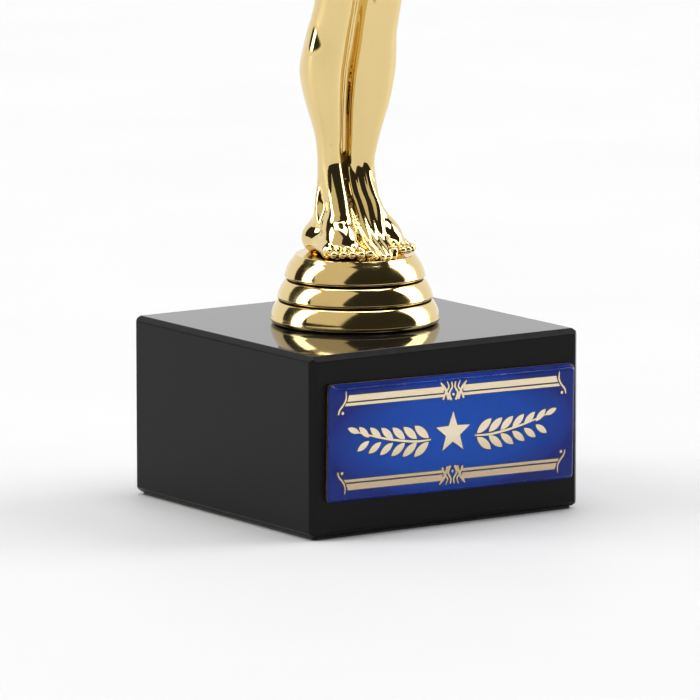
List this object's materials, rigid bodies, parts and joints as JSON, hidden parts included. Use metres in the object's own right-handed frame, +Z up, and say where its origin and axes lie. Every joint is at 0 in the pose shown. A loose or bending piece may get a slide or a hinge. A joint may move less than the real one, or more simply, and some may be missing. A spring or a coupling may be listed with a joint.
{
  "type": "figure trophy",
  "caption": "Gold athlete lifting a star on a round stepped pedestal, bolted to a square black stone block with a domed blue plaque.",
  "frame": {"origin": "centre of the underside of the felt pad, on the axis of the central tie bolt", "axes": "+Z up along the tie bolt; the plaque and the figure face -Y; +X is the figure's left"},
  "size_m": [0.06, 0.0623, 0.2609],
  "materials": {
    "stone_black": "polished",
    "felt_black": "matte",
    "tape_film": "matte",
    "plate_metal": "satin",
    "print_blue": "gloss",
    "print_gold": "satin",
    "resin_clear": "gloss",
    "steel_zinc": "satin",
    "gold_plating": "polished"
  },
  "bodies": {
    "base": {"felt_pad": "felt_black", "base_block": "stone_black", "plaque_tape": "tape_film", "plaque_plate": "plate_metal", "plaque_field": "print_blue", "upper_border": "print_gold", "lower_border": "print_gold", "centre_emblem": "print_gold", "plaque_dome": "resin_clear"},
    "figure": {"tie_bolt": "steel_zinc", "spring_washer": "steel_zinc", "plain_washer": "steel_zinc", "captive_nut": "steel_zinc", "pedestal": "gold_plating", "figure_body": "gold_plating", "left_arm": "gold_plating", "right_arm": "gold_plating", "star": "gold_plating"}
  },
  "joints": [
    {"name": "figure_turn", "type": "hinge", "parent": "base", "child": "figure", "pos_m": [0, 0, 0.034], "axis": [0, 0, 1], "continuous": true}
  ]
}
